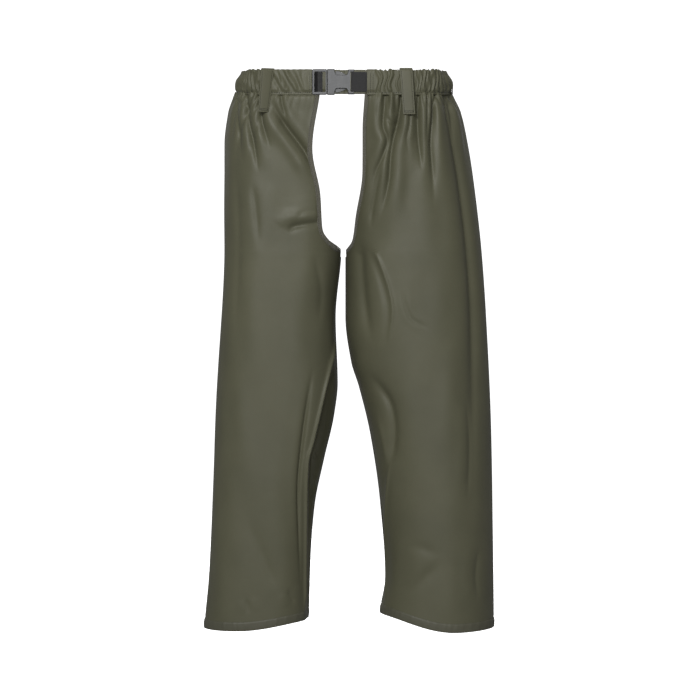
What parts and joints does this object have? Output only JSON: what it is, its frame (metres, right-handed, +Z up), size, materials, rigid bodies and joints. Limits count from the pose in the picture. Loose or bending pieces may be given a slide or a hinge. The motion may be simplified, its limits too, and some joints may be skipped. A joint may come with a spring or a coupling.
{
  "type": "rain chaps",
  "caption": "Waterproof leg chaps: two open-seated trouser legs on a gathered elastic waistband closed in front by a side-release buckle.",
  "frame": {"origin": "centre of the waist opening, at the middle of the waistband's height", "axes": "+Z up towards the wearer's head, the front faces -Y, the wearer's left leg is on +X"},
  "size_m": [0.5622, 0.2737, 1.097],
  "materials": {
    "coated_cloth": "satin olive polyurethane coating on knit, fine grain",
    "seam_tape": "smooth welded seam tape",
    "binding": "matt woven edge binding, stitched",
    "elastic": "woven elastic",
    "webbing": "matt charcoal woven webbing",
    "buckle_plastic": "satin moulded acetal",
    "snap_metal": "satin pressed metal"
  },
  "bodies": {
    "right_half": {"right_leg_front_panel": "coated_cloth", "right_leg_back_panel": "coated_cloth", "right_hem_band": "coated_cloth", "right_front_waistband": "coated_cloth", "right_back_waistband": "coated_cloth", "right_front_belt_loop": "coated_cloth", "right_back_belt_loop": "coated_cloth", "right_outseam_tape": "seam_tape", "right_inseam_tape": "seam_tape", "right_opening_binding": "binding", "right_waist_elastic": "elastic", "male_strap": "webbing", "buckle_male_frame": "buckle_plastic"},
    "left_half": {"left_leg_front_panel": "coated_cloth", "left_leg_back_panel": "coated_cloth", "left_hem_band": "coated_cloth", "left_front_waistband": "coated_cloth", "left_back_waistband": "coated_cloth", "left_front_belt_loop": "coated_cloth", "left_back_belt_loop": "coated_cloth", "left_outseam_tape": "seam_tape", "left_inseam_tape": "seam_tape", "left_opening_binding": "binding", "left_waist_elastic": "elastic", "female_strap": "webbing", "buckle_female_body": "buckle_plastic", "side_snap_cap": "snap_metal", "side_snap_socket": "snap_metal"},
    "upper_prong": {"buckle_upper_prong": "buckle_plastic"},
    "lower_prong": {"buckle_lower_prong": "buckle_plastic"}
  },
  "joints": [
    {"name": "waist_opening", "type": "hinge", "parent": "right_half", "child": "left_half", "pos_m": [0, 0.1288, 0], "axis": [0, 0, 1], "range_deg": [0, 70]},
    {"name": "upper_prong_press", "type": "hinge", "parent": "right_half", "child": "upper_prong", "pos_m": [-0.0313, -0.125, -0.00265], "axis": [0, 1, 0], "range_deg": [0, 9], "stiffness_Nm_per_rad": 0.5},
    {"name": "lower_prong_press", "type": "hinge", "parent": "right_half", "child": "lower_prong", "pos_m": [-0.0313, -0.125, -0.02985], "axis": [0, -1, 0], "range_deg": [0, 9], "stiffness_Nm_per_rad": 0.5}
  ]
}
